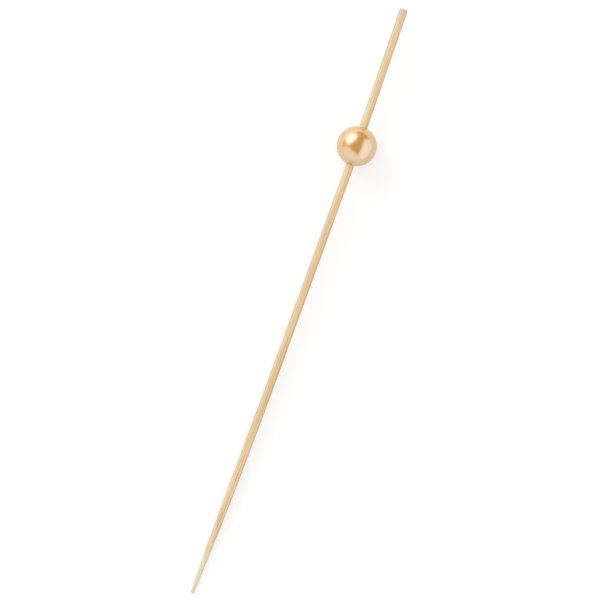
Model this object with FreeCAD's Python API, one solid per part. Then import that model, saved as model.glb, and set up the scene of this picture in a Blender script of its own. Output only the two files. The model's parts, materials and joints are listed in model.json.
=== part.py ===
import FreeCAD, Part
import math
import os

from FreeCAD import Placement, Rotation, Vector

# Cocktail pick: a round bamboo stick, ground to a point at one end, with one ball bead on it.
# It lies as it rests on a table: z = 0 is the table top, the point is at -X and the butt at +X.
# Sizes are in millimetres and angles in degrees.

# Bamboo stick
pick_length = 150.0        # measured along the stick, butt to tip
stick_diameter = 2.0
butt_round = 0.12          # broken edge of the square-cut butt
point_length = 35.0        # ground part, from the full section to the tip
tip_diameter = 0.85        # the tip is blunt
tip_round = 0.25           # edge radius round the blunt tip

# The stick is nearly straight: it has two slight natural bends, both to the same side
bead_bend_angle = 0.95
bead_bend_run = 20.0       # length of stick over which it bends, half on each side of the bead's centre
point_bend_angle = 0.8
point_bend_run = 25.0      # length of stick over which it bends, just before the ground part

# Ball bead
bead_diameter = 9.7
bead_from_butt = 34.8      # butt to the bead's centre, along the stick
glue_gap = 0.03            # film of glue between the stick and the bore, all round
mouth_round = 0.3          # rounded edge at each mouth of the bore

# Worked out from the sizes above
stick_radius = stick_diameter / 2
bead_radius = bead_diameter / 2
stub_run = bead_from_butt - bead_bend_run / 2
shank_run = pick_length - point_length - point_bend_run - bead_bend_run - stub_run
towards_point = Vector(-1, 0, 0)
across = Vector(0, 1, 0)
upwards = Vector(0, 0, 1)


def turned(direction, angle):
    # A direction in the table's plane, turned by an angle seen from above
    return Rotation(upwards, angle).multVec(direction)


def straight(start, direction, run):
    # A straight stretch of the stick's centre line: its edge and its end
    end = start + direction * run
    return Part.LineSegment(start, end).toShape(), end


def bend(start, direction, run, angle):
    # A stretch that turns evenly to the right: its edge, its end and the direction it leaves in
    radius = run / math.radians(angle)
    centre = start + turned(direction, -90) * radius
    spoke = start - centre
    middle = centre + turned(spoke, -angle / 2)
    end = centre + turned(spoke, -angle)
    return Part.Arc(start, middle, end).toShape(), end, turned(direction, -angle)


def centre_line():
    # The stick's centre line from the butt to where grinding starts, with the bead's centre at
    # the origin and the long straight shank along -X
    stub_direction = turned(towards_point, bead_bend_angle)
    stub, bend_start = straight(Vector(), stub_direction, stub_run)
    bead_bend, shank_start, shank_direction = bend(
        bend_start, stub_direction, bead_bend_run, bead_bend_angle
    )
    shank, shank_end = straight(shank_start, shank_direction, shank_run)
    point_bend, point_start, point_direction = bend(
        shank_end, shank_direction, point_bend_run, point_bend_angle
    )
    line = Part.Wire([stub, bead_bend, shank, point_bend])
    bead_centre = bead_bend.valueAt((bead_bend.FirstParameter + bead_bend.LastParameter) / 2)
    line.translate(-bead_centre)
    return line, stub_direction, point_start - bead_centre, point_direction


def aimed(direction):
    # The turn that brings the X axis onto a direction
    return Rotation(Vector(1, 0, 0), direction)


def ground_point():
    # The pointed end about the X axis: the grinding starts tangent to the full section and curves
    # in towards a small blunt tip with a rounded edge
    tip_radius = tip_diameter / 2
    drop = stick_radius - tip_radius
    curve_run = point_length - tip_round
    curve_radius = (curve_run**2 + drop**2) / (2 * drop)
    half_turn = math.asin(curve_run / curve_radius) / 2
    curve_middle = Vector(
        curve_radius * math.sin(half_turn),
        stick_radius - curve_radius * (1 - math.cos(half_turn)),
    )
    shoulder = Vector(0, stick_radius)
    tip_edge = Vector(curve_run, tip_radius)
    corner = Vector(point_length, tip_radius - tip_round)
    corner_middle = Vector(
        curve_run + tip_round * math.sin(math.radians(45)),
        corner.y + tip_round * math.cos(math.radians(45)),
    )
    tip_centre = Vector(point_length, 0)
    outline = Part.Wire(
        [
            Part.LineSegment(Vector(), shoulder).toShape(),
            Part.Arc(shoulder, curve_middle, tip_edge).toShape(),
            Part.Arc(tip_edge, corner_middle, corner).toShape(),
            Part.LineSegment(corner, tip_centre).toShape(),
            Part.LineSegment(tip_centre, Vector()).toShape(),
        ]
    )
    return Part.Face(outline).revolve(Vector(), Vector(1, 0, 0), 360)


def bamboo_stick():
    line, stub_direction, point_start, point_direction = centre_line()
    butt_centre = line.OrderedVertexes[0].Point
    section = Part.Wire(Part.makeCircle(stick_radius, butt_centre, stub_direction))
    shaft = line.makePipe(Part.Face(section))
    butt_face = min(shaft.Faces, key=lambda face: face.CenterOfMass.distanceToPoint(butt_centre))
    shaft = shaft.makeFillet(butt_round, butt_face.Edges)
    point = ground_point()
    point.Placement = Placement(point_start, aimed(point_direction))
    return shaft.fuse(point).removeSplitter()


def pearl_bead():
    # A ball bored right through. The stick bends a little inside the bead, so the straight bore is
    # wider than the stick by the glue and by how far the bend leaves the bore's axis at its mouths
    bend_radius = bead_bend_run / math.radians(bead_bend_angle)
    bend_offset = bead_radius**2 / (2 * bend_radius)
    bore_radius = stick_radius + glue_gap + bend_offset
    bore_direction = turned(towards_point, bead_bend_angle / 2)
    ball = Part.makeSphere(bead_radius, Vector(), bore_direction)
    bore_length = 2 * bead_diameter
    bore_start = bore_direction * (-bore_length / 2)
    bead = ball.cut(Part.makeCylinder(bore_radius, bore_length, bore_start, bore_direction))
    bore_wall = next(face for face in bead.Faces if isinstance(face.Surface, Part.Cylinder))
    mouths = [edge for edge in bore_wall.Edges if edge.isClosed() and isinstance(edge.Curve, Part.Circle)]
    return bead.makeFillet(mouth_round, mouths)


def laid_on_table(stick, bead):
    # The pick lies on its bead and near its tip: the stick is tilted about the bead's centre until
    # it just touches the table. Then the origin goes to the middle of the overall box, on the table
    reach = pick_length - bead_from_butt
    tilt = 0.0
    for _ in range(12):
        tilted = stick.copy()
        tilted.rotate(Vector(), across, -tilt)
        gap = tilted.optimalBoundingBox(False, False).ZMin + bead_radius
        tilt += math.degrees(math.atan2(gap, reach))
    resting = Part.makeCompound([stick, bead])
    resting.rotate(Vector(), across, -tilt)
    box = resting.optimalBoundingBox(False, False)
    move = Vector(-box.Center.x, -box.Center.y, bead_radius)
    return Placement(move, Rotation(across, -tilt))


def main():
    os.makedirs("parts", exist_ok=True)
    pieces = {"bamboo_stick": bamboo_stick(), "pearl_bead": pearl_bead()}
    place = laid_on_table(*pieces.values())
    for name, piece in pieces.items():
        piece.Placement = place.multiply(piece.Placement)
        piece.exportStep(f"parts/{name}.step")


main()
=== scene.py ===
import json
import math
from math import cos, pi, radians, sin, sqrt

import bmesh
import bpy
from mathutils import Matrix, Vector, noise


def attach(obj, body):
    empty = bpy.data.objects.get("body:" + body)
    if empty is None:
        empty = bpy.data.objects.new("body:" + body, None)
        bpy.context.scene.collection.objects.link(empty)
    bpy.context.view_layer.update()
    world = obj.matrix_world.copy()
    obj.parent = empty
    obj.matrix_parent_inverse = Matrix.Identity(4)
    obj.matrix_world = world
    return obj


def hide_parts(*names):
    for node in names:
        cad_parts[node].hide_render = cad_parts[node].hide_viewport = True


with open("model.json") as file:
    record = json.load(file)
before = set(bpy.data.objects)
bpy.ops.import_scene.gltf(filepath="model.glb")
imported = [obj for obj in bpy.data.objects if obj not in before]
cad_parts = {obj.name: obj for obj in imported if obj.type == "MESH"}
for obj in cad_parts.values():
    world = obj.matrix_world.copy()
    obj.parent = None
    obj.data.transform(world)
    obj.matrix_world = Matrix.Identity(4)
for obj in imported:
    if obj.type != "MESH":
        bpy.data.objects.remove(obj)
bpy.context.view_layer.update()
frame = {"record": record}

print("Frame loaded")

# Everything is in metres, and colours are given as they look on screen, 0 to 255.


def arc(centre, radius, first, last, steps):
    # Points of an arc, its ends included
    angles = [first + (last - first) * step / steps for step in range(steps + 1)]
    return [(centre[0] + radius * cos(a), centre[1] + radius * sin(a)) for a in angles]


def spunShape(outline, sides, closed=False):
    # A half outline in X and Z, spun about the X axis
    shape = bmesh.new()
    corners = [shape.verts.new((x, 0, r)) for x, r in outline]
    edges = [shape.edges.new(pair) for pair in zip(corners, corners[1:])]
    if closed:
        edges.append(shape.edges.new((corners[-1], corners[0])))
    bmesh.ops.spin(
        shape, geom=corners + edges, cent=(0, 0, 0), axis=(1, 0, 0), dvec=(0, 0, 0),
        angle=2 * pi, steps=sides, use_merge=True,
    )
    bmesh.ops.remove_doubles(shape, verts=shape.verts, dist=1e-7)
    return shape


def madePiece(shape, name, material):
    mesh = bpy.data.meshes.new(name)
    for face in shape.faces:
        face.smooth = True
    shape.to_mesh(mesh)
    shape.free()
    mesh.materials.append(material)
    piece = bpy.data.objects.new(name, mesh)
    bpy.context.scene.collection.objects.link(piece)
    print(name, "has", len(mesh.polygons), "faces")
    return piece


# Materials

def addNode(tree, kind, inputs=None, **settings):
    # inputs takes plain values and other nodes' outputs alike
    node = tree.nodes.new(kind)
    for name, value in settings.items():
        setattr(node, name, value)
    for name, value in (inputs or {}).items():
        if isinstance(value, bpy.types.NodeSocket):
            tree.links.new(value, node.inputs[name])
        else:
            node.inputs[name].default_value = value
    return node


def maths(tree, operation, first, second):
    return addNode(tree, "ShaderNodeMath", {0: first, 1: second}, operation=operation).outputs[0]


def rangeMask(tree, value, fromLow, fromHigh, toLow=0.0, toHigh=1.0):
    limits = {"Value": value, "From Min": fromLow, "From Max": fromHigh, "To Min": toLow, "To Max": toHigh}
    return addNode(tree, "ShaderNodeMapRange", limits).outputs["Result"]


def lengthOf(tree, vector):
    return addNode(tree, "ShaderNodeVectorMath", {0: vector}, operation="LENGTH").outputs["Value"]


def mixColour(tree, share, first, second):
    return addNode(tree, "ShaderNodeMix", {0: share, 6: first, 7: second}, data_type="RGBA").outputs[2]


def colour(onScreen):
    # The shader's own value of a colour on screen
    def linear(part):
        part = part / 255
        return part / 12.92 if part <= 0.04045 else ((part + 0.055) / 1.055) ** 2.4
    return (*map(linear, onScreen), 1.0)


def painted(tree, under, mask, share, onScreen):
    # One more colour over what is there, where the mask is, by its share
    return mixColour(tree, maths(tree, "MULTIPLY", mask, share), under, colour(onScreen))


def newMaterial(name):
    material = bpy.data.materials.new(name)
    material.use_nodes = True
    return material, material.node_tree, material.node_tree.nodes["Principled BSDF"]


def setInputs(shader, values):
    for name, value in values.items():
        shader.inputs[name].default_value = value


def stretchedNoiseGroup():
    # Noise whose spots have a given length along X and a given width across it
    group = bpy.data.node_groups.new("stretchedNoise", "ShaderNodeTree")
    sockets = group.interface
    sockets.new_socket(name="Vector", in_out="INPUT", socket_type="NodeSocketVector")
    usual = {"Length": 0.01, "Width": 0.001, "Detail": 2.0, "Low": 0.3, "High": 0.7}
    for name, value in usual.items():
        socket = sockets.new_socket(name=name, in_out="INPUT", socket_type="NodeSocketFloat")
        socket.default_value = value
    sockets.new_socket(name="Mask", in_out="OUTPUT", socket_type="NodeSocketFloat")
    given = group.nodes.new("NodeGroupInput").outputs
    result = group.nodes.new("NodeGroupOutput").inputs

    along = maths(group, "DIVIDE", 1.0, given["Length"])
    across = maths(group, "DIVIDE", 1.0, given["Width"])
    scale = addNode(group, "ShaderNodeCombineXYZ", {0: along, 1: across, 2: across}).outputs[0]
    place = addNode(
        group, "ShaderNodeVectorMath", {0: given["Vector"], 1: scale}, operation="MULTIPLY",
    ).outputs[0]
    spots = addNode(group, "ShaderNodeTexNoise", {"Vector": place, "Scale": 1.0, "Detail": given["Detail"]})
    mask = rangeMask(group, spots.outputs["Fac"], given["Low"], given["High"])
    group.links.new(mask, result["Mask"])
    return group


stretched = stretchedNoiseGroup()


def noiseMask(tree, place, **spots):
    # spots gives their length and width, and their detail, low and high where these aren't the usual
    inputs = {name.capitalize(): value for name, value in spots.items()}
    inputs["Vector"] = place
    return addNode(tree, "ShaderNodeGroup", inputs, node_tree=stretched).outputs["Mask"]


def straightPlace(tree):
    # The place on a piece before it was bent or laid down: its X runs along the stick
    place = addNode(tree, "ShaderNodeAttribute", attribute_name="straight").outputs["Vector"]
    return place, addNode(tree, "ShaderNodeSeparateXYZ", {0: place}).outputs


# Bamboo stick. Places along it are measured from its butt.

stick = {
    "length": 0.150,
    "radius": 0.001,
    "buttRound": 0.00012,
    "pointRun": 0.035,              # ground part
    "tipRadius": 0.000425,
    "tipRound": 0.00025,
    "beadBend": radians(0.95),      # slight natural bends, both to the same side
    "beadBendRun": 0.020,
    "pointBend": radians(0.8),
    "pointBendRun": 0.025,

    # faces
    "sides": 120,                   # round the stick
    "faceLength": 0.0006,           # half of this on the ground part
    "buttRings": 10,
    "buttRoundRings": 6,
    "tipRings": 4,
    "tipRoundRings": 8,

    # relief: along, across and perMetre say how many spots it has to the metre
    "fibreDepth": 0.000022,         # grooves between the fibres
    "grooved": 0.42,                # the higher, the more of the side lies in grooves
    "broadFibres": {"along": 14, "across": 1900, "height": 0.55, "shift": 0},
    "narrowFibres": {"along": 40, "across": 5200, "height": 0.38, "shift": 7},
    "groundGrooves": 0.7,           # share of their depth that the grinding left
    "flatDepth": 0.000015,          # flats that the grinding left
    "flats": {"along": 260, "round": 2.2},    # the higher round is, the more flats lie round it
    "chipDepth": 0.00006,           # chips that the saw left round the butt
    "chipReach": 0.25,              # outer share of the butt's radius that has them
    "chips": {"perMetre": 2600, "seed": 3},
    "pits": {"perMetre": 6500, "seed": 9},
    "pitShare": 0.4,                # the pits' depth next to the chips'

    # colours
    "straw": (251, 229, 188),
    "tan": (238, 205, 149),
    "bundle": (190, 147, 93),       # darker fibre bundles
    "ground": (243, 228, 200),      # paler where the point is ground
    "sawn": (209, 199, 169),        # greyer at the sawn butt and the worn tip

    # streaks, and how much of a colour each of them brings
    "patches": {"length": 0.030, "width": 0.0013, "low": 0.38, "high": 0.62},
    "patchShare": 0.8,
    "grain": {"length": 0.020, "width": 0.00022, "low": 0.35, "high": 0.65, "detail": 3.0},
    "grainShare": 0.55,
    "fineGrain": {"length": 0.006, "width": 0.00007},
    "fineShare": 0.25,
    "bundleSpacing": 0.00030,
    "bundleUneven": 0.8,
    "bundleEdge": (0.30, 0.17),     # shares of the spacing at which a bundle starts and is full
    "bundleShare": 0.6,
    "wander": {"length": 0.016, "width": 0.0011},
    "wanderReach": 0.00022,         # how far the bundles stray on their way
    "paleFrom": 0.018,              # past the start of the ground part
    "paleFull": 0.004,              # short of the tip
    "paleShare": 0.85,
    "paleGrainShare": 0.35,
    "buttGrey": 0.0024,             # how far the grey reaches along the side
    "buttGreyShare": 0.8,
    "tipGrey": 0.0008,
    "tipGreyShare": 0.6,
    "buttDots": (0.00016, 0.0001),  # from the end, where its dots start and are full
    "tipDots": (0.00008, 0.00002),
    "dotShare": 0.7,

    # surface
    "roughness": (0.42, 0.58),
    "groundRoughness": 0.2,         # added where the point is ground
    "grainHeight": 0.5,
    "fineHeight": 0.35,
    "scratches": {"length": 0.00012, "width": 0.0015},
    "scratchDepth": 0.25,
    "scratchedFull": 0.004,         # past the start of the ground part
    "bumpStrength": 0.5,
    "bumpDistance": 0.00002,
}
groundFrom = stick["length"] - stick["pointRun"]

# Where the pick lies: the frame gives the straight shank, and both ends bend away from it
shank = next(mount for mount in frame["record"]["mounts"] if mount["name"] == "shank")
shankRun = shank["dims"]["length_mm"] / 1000
towardsPoint = Vector(shank["axis"]).normalized()
sideways = Vector((0, 1, 0))
upwards = sideways.cross(towardsPoint)
shankStart = Vector(shank["pos_m"]) - towardsPoint * shankRun / 2
shankEnd = Vector(shank["pos_m"]) + towardsPoint * shankRun / 2
shankFrom = groundFrom - stick["pointBendRun"] - shankRun


def bentRun(distance, run, angle):
    # How far forward and aside a bend and the straight after it lead, and the turn there
    bendRadius = run / angle
    turn = min(distance, run) / bendRadius
    straightOn = max(distance - run, 0)
    forward = bendRadius * sin(turn) + straightOn * cos(turn)
    aside = bendRadius * (1 - cos(turn)) + straightOn * sin(turn)
    return forward, aside, turn


def onStick(along, aside=0.0, above=0.0):
    # The place in the frame of a point given along the straight stick and across it
    pastShank = along - shankFrom - shankRun
    if along < shankFrom:
        forward, away, turn = bentRun(shankFrom - along, stick["beadBendRun"], stick["beadBend"])
        centre = shankStart - towardsPoint * forward + sideways * away
        turn = -turn
    elif pastShank > 0:
        forward, away, turn = bentRun(pastShank, stick["pointBendRun"], stick["pointBend"])
        centre = shankEnd + towardsPoint * forward + sideways * away
    else:
        turn = 0.0
        centre = shankStart + towardsPoint * (along - shankFrom)
    across = sideways * cos(turn) - towardsPoint * sin(turn)
    return centre + across * aside + upwards * above


def stickOutline():
    radius, edge = stick["radius"], stick["buttRound"]
    tip, tipEdge = stick["tipRadius"], stick["tipRound"]
    rings = stick["buttRings"]
    face = [(0.0, (radius - edge) * ring / rings) for ring in range(rings)]
    corner = arc((edge, radius - edge), edge, pi, pi / 2, stick["buttRoundRings"])
    plainRun = groundFrom - edge
    count = round(plainRun / stick["faceLength"])
    side = [(edge + plainRun * ring / count, radius) for ring in range(1, count)]
    # the ground part curves in, tangent to the full section
    curveRun = stick["pointRun"] - tipEdge
    drop = radius - tip
    curveRadius = (curveRun ** 2 + drop ** 2) / (2 * drop)
    turn = math.asin(curveRun / curveRadius)
    count = round(2 * curveRun / stick["faceLength"])
    ground = arc((groundFrom, radius - curveRadius), curveRadius, pi / 2, pi / 2 - turn, count)
    tipCentre = (stick["length"] - tipEdge, tip - tipEdge)
    tipCorner = arc(tipCentre, tipEdge, pi / 2, 0, stick["tipRoundRings"])
    rings = stick["tipRings"]
    end = [(stick["length"], (tip - tipEdge) * ring / rings) for ring in reversed(range(rings))]
    return face + corner + side + ground + tipCorner[1:] + end


def fibreRelief(x, y, z):
    # From 0 on a fibre's back to 1 in the deepest groove: long along the stick, narrow across it
    depth = stick["grooved"]
    for fibres in (stick["broadFibres"], stick["narrowFibres"]):
        along, across = fibres["along"], fibres["across"]
        depth -= fibres["height"] * noise.noise(Vector((x * along + fibres["shift"], y * across, z * across)))
    return min(max(depth, 0), 1)


def flats(x, y, z):
    # From 0 to 1 at the deepest of the flats on the ground part
    angle = math.atan2(y, z)
    along, wide = stick["flats"]["along"], stick["flats"]["round"]
    return 0.5 + 0.5 * noise.noise(Vector((x * along, wide * cos(angle), wide * sin(angle))))


def spotsAcross(spots, y, z):
    # Spots on the sawn butt, which don't change along the stick
    return max(noise.noise(Vector((spots["seed"], y * spots["perMetre"], z * spots["perMetre"]))), 0)


def sawnRelief(y, z):
    # Chips towards the butt's rim and pits all over it
    reach = stick["chipReach"]
    rim = max(math.hypot(y, z) / stick["radius"] - (1 - reach), 0) / reach
    return rim * spotsAcross(stick["chips"], y, z) + stick["pitShare"] * spotsAcross(stick["pits"], y, z)


def cutRelief(shape):
    for vert in shape.verts:
        x, y, z = vert.co
        radius = math.hypot(y, z)
        if x < stick["buttRound"]:
            vert.co.x += stick["chipDepth"] * sawnRelief(y, z)
        # the middle of both ends has no side to cut
        if radius > stick["tipRadius"] / 2:
            depth = stick["fibreDepth"] * fibreRelief(*vert.co)
            if x > groundFrom:
                depth = depth * stick["groundGrooves"] + stick["flatDepth"] * flats(x, y, z)
            vert.co.y *= 1 - depth / radius
            vert.co.z *= 1 - depth / radius


def bambooStick(material):
    shape = spunShape(stickOutline(), stick["sides"])
    cutRelief(shape)
    straight = shape.verts.layers.float_vector.new("straight")    # the grain follows this
    for vert in shape.verts:
        vert[straight] = vert.co
        vert.co = onStick(*vert.co)
    bmesh.ops.recalc_face_normals(shape, faces=shape.faces)
    return madePiece(shape, "bambooStick", material)


def fibreBundles(tree, straight, apart):
    # Bundles run through the whole stick: streaks where they reach its side, dots where it is sawn
    wander = maths(tree, "MULTIPLY", noiseMask(tree, straight, **stick["wander"]), stick["wanderReach"])
    across = maths(tree, "ADD", apart["Y"], wander)
    above = maths(tree, "SUBTRACT", apart["Z"], wander)
    place = addNode(tree, "ShaderNodeCombineXYZ", {0: across, 1: above}).outputs[0]
    pattern = {"Vector": place, "Scale": 1 / stick["bundleSpacing"], "Randomness": stick["bundleUneven"]}
    cells = addNode(tree, "ShaderNodeTexVoronoi", pattern, voronoi_dimensions="2D")
    return rangeMask(tree, cells.outputs["Distance"], *stick["bundleEdge"])


def bambooMaterial():
    material, tree, shader = newMaterial("sandedBamboo")
    straight, apart = straightPlace(tree)
    along = apart["X"]
    patches = noiseMask(tree, straight, **stick["patches"])
    grain = noiseMask(tree, straight, **stick["grain"])
    fine = noiseMask(tree, straight, **stick["fineGrain"])
    bundles = fibreBundles(tree, straight, apart)
    body = painted(tree, colour(stick["straw"]), patches, stick["patchShare"], stick["tan"])
    body = painted(tree, body, grain, stick["grainShare"], stick["tan"])
    body = painted(tree, body, fine, stick["fineShare"], stick["bundle"])
    body = painted(tree, body, bundles, stick["bundleShare"], stick["bundle"])

    paleFrom = groundFrom + stick["paleFrom"]
    paleFull = stick["length"] - stick["paleFull"]
    pale = rangeMask(tree, along, paleFrom, paleFull, 0.0, stick["paleShare"])
    body = mixColour(tree, pale, body, colour(stick["ground"]))
    paleGrain = maths(tree, "MULTIPLY", grain, pale)
    body = painted(tree, body, paleGrain, stick["paleGrainShare"], stick["tan"])

    nearButt = rangeMask(tree, along, stick["buttGrey"], 0.0, 0.0, stick["buttGreyShare"])
    tipGreyFrom = stick["length"] - stick["tipGrey"]
    nearTip = rangeMask(tree, along, tipGreyFrom, stick["length"], 0.0, stick["tipGreyShare"])
    body = mixColour(tree, maths(tree, "MAXIMUM", nearButt, nearTip), body, colour(stick["sawn"]))
    buttFace = rangeMask(tree, along, *stick["buttDots"])
    tipFace = rangeMask(tree, along, *(stick["length"] - short for short in stick["tipDots"]))
    dots = maths(tree, "MULTIPLY", bundles, maths(tree, "MAXIMUM", buttFace, tipFace))
    body = painted(tree, body, dots, stick["dotShare"], stick["bundle"])
    tree.links.new(body, shader.inputs["Base Color"])

    # fibres stand up a little, and the grinding scratched across them
    scratchedFull = groundFrom + stick["scratchedFull"]
    scratches = noiseMask(tree, straight, **stick["scratches"])
    scratches = maths(tree, "MULTIPLY", scratches, rangeMask(tree, along, groundFrom, scratchedFull))
    scratches = maths(tree, "MULTIPLY", scratches, stick["scratchDepth"])
    grainHeight = maths(tree, "MULTIPLY", grain, stick["grainHeight"])
    fineHeight = maths(tree, "MULTIPLY", fine, stick["fineHeight"])
    height = maths(tree, "SUBTRACT", maths(tree, "ADD", grainHeight, fineHeight), scratches)
    relief = {"Strength": stick["bumpStrength"], "Distance": stick["bumpDistance"], "Height": height}
    bump = addNode(tree, "ShaderNodeBump", relief)
    tree.links.new(bump.outputs["Normal"], shader.inputs["Normal"])
    rough = rangeMask(tree, grain, 0.0, 1.0, *stick["roughness"])
    rough = maths(tree, "ADD", rough, maths(tree, "MULTIPLY", pale, stick["groundRoughness"]))
    tree.links.new(rough, shader.inputs["Roughness"])
    return material


stickPiece = bambooStick(bambooMaterial())
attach(stickPiece, "root")
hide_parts("bamboo_stick")
print("Stick made")


# Pearl bead

bead = {
    "radius": 0.00485,
    "fromButt": 0.0348,             # butt to the bead's centre
    "mouthRound": 0.0003,
    "glueGap": 0.00003,

    # faces
    "sides": 160,
    "rings": 96,
    "mouthRings": 10,
    "boreRings": 8,

    # lacquer
    "gold": (243, 178, 64),
    "deepGold": (235, 167, 55),
    "clouds": {"length": 0.0028, "width": 0.0022, "low": 0.35, "high": 0.65, "detail": 3.0},
    "pooled": (196, 130, 62),       # it pools a little darker at the bore
    "pooledFrom": 0.0015,           # out from the bore's axis
    "pooledFull": 0.00105,
    "pooledShare": 0.8,
    "roughness": (0.20, 0.24),
    "shine": {
        "IOR": 3.42,
        "Specular Tint": (0.81, 0.97, 1.0, 1),
        "Coat Weight": 0.16,
        "Coat Roughness": 0.12,
        "Coat IOR": 1.5,
    },
    "skin": {"length": 0.0006, "width": 0.0006, "low": 0.2, "high": 0.8},
    "skinStrength": 0.15,
    "skinDistance": 0.000004,
}


def beadOutline():
    radius, edge = bead["radius"], bead["mouthRound"]
    bendOffset = radius ** 2 * stick["beadBend"] / (2 * stick["beadBendRun"])
    bore = stick["radius"] + bead["glueGap"] + bendOffset
    mouth = sqrt((radius - edge) ** 2 - (bore + edge) ** 2)
    meets = math.atan2(bore + edge, mouth)
    ball = arc((0, 0), radius, meets, pi - meets, bead["rings"])
    near = arc((-mouth, bore + edge), edge, pi - meets, 1.5 * pi, bead["mouthRings"])
    far = arc((mouth, bore + edge), edge, -pi / 2, meets, bead["mouthRings"])
    rings = bead["boreRings"]
    wall = [(-mouth + 2 * mouth * ring / rings, bore) for ring in range(1, rings)]
    return ball + near[1:] + wall + far[:-1]


def pearlBead(material):
    shape = spunShape(beadOutline(), bead["sides"], closed=True)
    straight = shape.verts.layers.float_vector.new("straight")
    for vert in shape.verts:
        vert[straight] = vert.co
    # the bore points as the stick does where the bead sits
    centre = onStick(bead["fromButt"])
    shortWay = 0.001
    before, after = onStick(bead["fromButt"] - shortWay), onStick(bead["fromButt"] + shortWay)
    alongBore = (after - before).normalized()
    turned = Matrix((alongBore, alongBore.cross(upwards), upwards)).transposed().to_4x4()
    bmesh.ops.transform(shape, matrix=Matrix.Translation(centre) @ turned, verts=shape.verts)
    bmesh.ops.recalc_face_normals(shape, faces=shape.faces)
    return madePiece(shape, "pearlBead", material)


def pearlMaterial():
    material, tree, shader = newMaterial("goldPearlLacquer")
    straight, apart = straightPlace(tree)
    clouds = noiseMask(tree, straight, **bead["clouds"])
    body = mixColour(tree, clouds, colour(bead["gold"]), colour(bead["deepGold"]))
    across = addNode(tree, "ShaderNodeCombineXYZ", {1: apart["Y"], 2: apart["Z"]}).outputs[0]
    fromAxis = lengthOf(tree, across)
    pooled = rangeMask(tree, fromAxis, bead["pooledFrom"], bead["pooledFull"], 0.0, bead["pooledShare"])
    body = mixColour(tree, pooled, body, colour(bead["pooled"]))
    tree.links.new(body, shader.inputs["Base Color"])
    tree.links.new(rangeMask(tree, clouds, 0.0, 1.0, *bead["roughness"]), shader.inputs["Roughness"])
    setInputs(shader, bead["shine"])
    skin = noiseMask(tree, straight, **bead["skin"])
    relief = {"Strength": bead["skinStrength"], "Distance": bead["skinDistance"], "Height": skin}
    bump = addNode(tree, "ShaderNodeBump", relief)
    tree.links.new(bump.outputs["Normal"], shader.inputs["Normal"])
    return material


beadPiece = pearlBead(pearlMaterial())
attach(beadPiece, "root")
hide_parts("pearl_bead")
print("Bead made")


# Camera: straight above, as the photograph looks at the pick

photograph = {
    "side": 600,                      # pixels
    "pickLength": 620.75,             # pixels, butt to tip
    "pickMiddle": (297.77, 302.12),   # pixels, from the left and from the top
    "lean": radians(19.92),           # the butt leans right of upright
    "lens": 200.0,                    # millimetres
    "sensor": 36.0,
    "nearest": 0.01,                  # metres, nothing nearer shows
}
pictureRight = Vector((sin(photograph["lean"]), -cos(photograph["lean"]), 0))
pictureUp = Vector((cos(photograph["lean"]), sin(photograph["lean"]), 0))


def addCamera():
    butt, tip = onStick(0.0), onStick(stick["length"])
    perPixel = (butt.xy - tip.xy).length / photograph["pickLength"]
    distance = perPixel * photograph["side"] * photograph["lens"] / photograph["sensor"]
    half = photograph["side"] / 2
    right = (half - photograph["pickMiddle"][0]) * perPixel
    up = (photograph["pickMiddle"][1] - half) * perPixel
    camera = bpy.data.cameras.new("camera")
    camera.lens = photograph["lens"]
    camera.sensor_width = photograph["sensor"]
    camera.clip_start = photograph["nearest"]
    holder = bpy.data.objects.new("camera", camera)
    middle = (butt + tip) / 2
    holder.location = middle + pictureRight * right + pictureUp * up + Vector((0, 0, distance))
    holder.rotation_euler = (0, 0, photograph["lean"] - pi / 2)
    bpy.context.scene.collection.objects.link(holder)
    bpy.context.scene.camera = holder


addCamera()
print("Camera set")


# Light, placed round the bead as the camera sees it: angle runs round the picture from its right
# side, fromTop down from overhead, and wide and tall say how large it looks from the bead. Degrees.

lamps = {
    "softbox": {"angle": 129, "fromTop": 56, "wide": 50, "tall": 38, "radiance": 2.6},
    "ceiling": {"angle": -50, "fromTop": 6, "wide": 90, "tall": 90, "radiance": 1.0},
}
# What the pearl mirrors, farthest first. soft is the share of a card over which it fades out.
cards = {
    "rightCard": {"angle": -20, "fromTop": 65, "wide": 136, "tall": 91, "soft": 0.56, "strength": 1.6},
    "leftCard": {"angle": 232, "fromTop": 80, "wide": 138, "tall": 106, "soft": 0.65, "strength": 1.21},
    "haloCard": {"angle": 130, "fromTop": 60, "wide": 97, "tall": 78, "soft": 0.52, "strength": 1.57},
    "blackCard": {"angle": 59, "fromTop": 90, "wide": 83, "tall": 81, "soft": 0.65, "strength": 0.0},
    "slimBlackCard": {"angle": 171, "fromTop": 93, "wide": 52, "tall": 87, "soft": 0.91, "strength": 0.0},
    "highlightCard": {"angle": 126, "fromTop": 58, "wide": 61, "tall": 49, "soft": 0.58, "strength": 3.14},
}
lampDistance = 0.9
farthestCard = 1.3
cardStep = 0.05


def placeLight(holder, angle, fromTop, distance):
    level = pictureRight * cos(radians(angle)) + pictureUp * sin(radians(angle))
    direction = level * sin(radians(fromTop)) + Vector((0, 0, cos(radians(fromTop))))
    across = Vector((0, 0, 1)).cross(direction).normalized()
    turned = Matrix((across, direction.cross(across), direction)).transposed().to_4x4()
    holder.matrix_world = Matrix.Translation(onStick(bead["fromButt"]) + direction * distance) @ turned


def sizeAt(distance, angle):
    return 2 * distance * math.tan(radians(angle) / 2)


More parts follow.
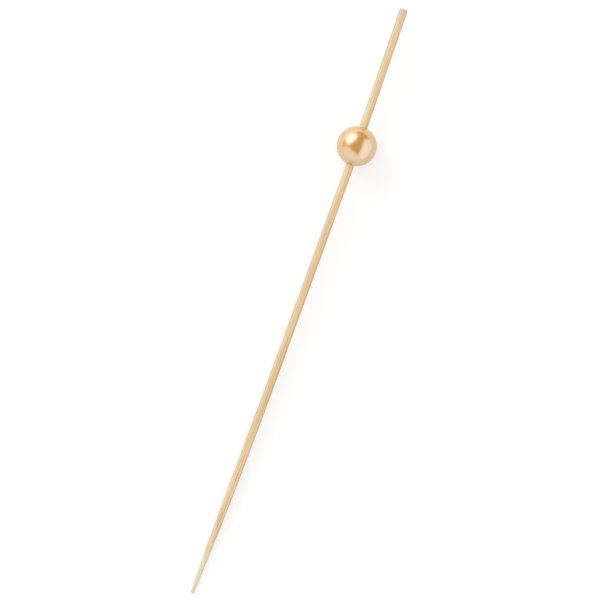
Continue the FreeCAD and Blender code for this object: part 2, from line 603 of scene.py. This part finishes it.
def addLamp(name, angle, fromTop, wide, tall, radiance):
    lamp = bpy.data.lights.new(name, "AREA")
    lamp.shape = "ELLIPSE"
    lamp.size = sizeAt(lampDistance, wide)
    lamp.size_y = sizeAt(lampDistance, tall)
    lamp.energy = radiance * pi * (lamp.size * lamp.size_y * pi / 4)
    holder = bpy.data.objects.new(name, lamp)
    placeLight(holder, angle, fromTop, lampDistance)
    holder.visible_camera = False
    holder.visible_glossy = False
    bpy.context.scene.collection.objects.link(holder)


def cardMaterial(name, soft, strength):
    # Fades out towards the card's edges, so that its reflection has soft edges too
    material, tree, shader = newMaterial(name)
    tree.nodes.remove(shader)
    offCentre = lengthOf(tree, addNode(tree, "ShaderNodeTexCoord").outputs["Object"])
    mask = addNode(
        tree, "ShaderNodeMapRange", {"Value": offCentre, "From Min": 1.0, "From Max": 1 - soft},
        interpolation_type="SMOOTHSTEP",
    ).outputs["Result"]
    glow = addNode(tree, "ShaderNodeEmission", {"Strength": strength}).outputs[0]
    clear = addNode(tree, "ShaderNodeBsdfTransparent").outputs[0]
    mixed = addNode(tree, "ShaderNodeMixShader", {0: mask, 1: clear, 2: glow}).outputs[0]
    tree.links.new(mixed, tree.nodes["Material Output"].inputs["Surface"])
    return material


def flatPiece(name, half, material):
    shape = bmesh.new()
    bmesh.ops.create_grid(shape, x_segments=1, y_segments=1, size=half)
    return madePiece(shape, name, material)


def addCard(name, distance, angle, fromTop, wide, tall, soft, strength):
    # A card that shows only in reflections
    card = flatPiece(name, 1.0, cardMaterial(name, soft, strength))
    placeLight(card, angle, fromTop, distance)
    halfSize = (sizeAt(distance, wide) / 2, sizeAt(distance, tall) / 2, 1, 1)
    card.matrix_world = card.matrix_world @ Matrix.Diagonal(halfSize)
    card.visible_camera = False
    card.visible_diffuse = False
    card.visible_shadow = False


for name, lamp in lamps.items():
    addLamp(name, **lamp)
for place, (name, card) in enumerate(cards.items()):
    addCard(name, farthestCard - cardStep * place, **card)
print("Light set")


# White table and backdrop

backdrop = {
    "whiteUpTo": 0.25,              # height over the horizon, up to 1 overhead
    "darkFrom": 0.55,
    "overhead": 0.05,               # strength left there
    "half": 3.0,                    # half the table's side
    "table": {
        "Base Color": (0.6, 0.6, 0.6, 1),
        "Roughness": 0.9,
        "Specular IOR Level": 0.1,
        "Emission Color": (1, 1, 1, 1),
    },
    "glowRun": (0.4, 1.6),          # from the table's middle
    "glow": (0.5, 1.0),
}


def addWorld():
    # White round the horizon, where the backdrop would be, and dark overhead
    world = bpy.data.worlds.new("studio")
    world.use_nodes = True
    tree = world.node_tree
    direction = addNode(tree, "ShaderNodeTexCoord").outputs["Generated"]
    height = addNode(tree, "ShaderNodeSeparateXYZ", {0: direction}).outputs["Z"]
    strength = rangeMask(tree, height, backdrop["whiteUpTo"], backdrop["darkFrom"], 1.0, backdrop["overhead"])
    tree.links.new(strength, tree.nodes["Background"].inputs["Strength"])
    tree.nodes["Background"].inputs["Color"].default_value = (1, 1, 1, 1)
    bpy.context.scene.world = world


def addFloor():
    material, tree, shader = newMaterial("paleTable")
    setInputs(shader, backdrop["table"])
    seen = addNode(tree, "ShaderNodeLightPath").outputs
    ray = maths(tree, "MAXIMUM", seen["Is Camera Ray"], seen["Is Glossy Ray"])
    ray = maths(tree, "MAXIMUM", ray, seen["Is Transmission Ray"])
    # glows more towards the horizon, where the lamps no longer reach and the backdrop begins
    away = lengthOf(tree, addNode(tree, "ShaderNodeTexCoord").outputs["Object"])
    glow = rangeMask(tree, away, *backdrop["glowRun"], *backdrop["glow"])
    tree.links.new(maths(tree, "MULTIPLY", ray, glow), shader.inputs["Emission Strength"])
    floor = flatPiece("table", backdrop["half"], material)


addWorld()
addFloor()
bpy.context.scene.view_settings.view_transform = "Standard"
print("Table and backdrop set")
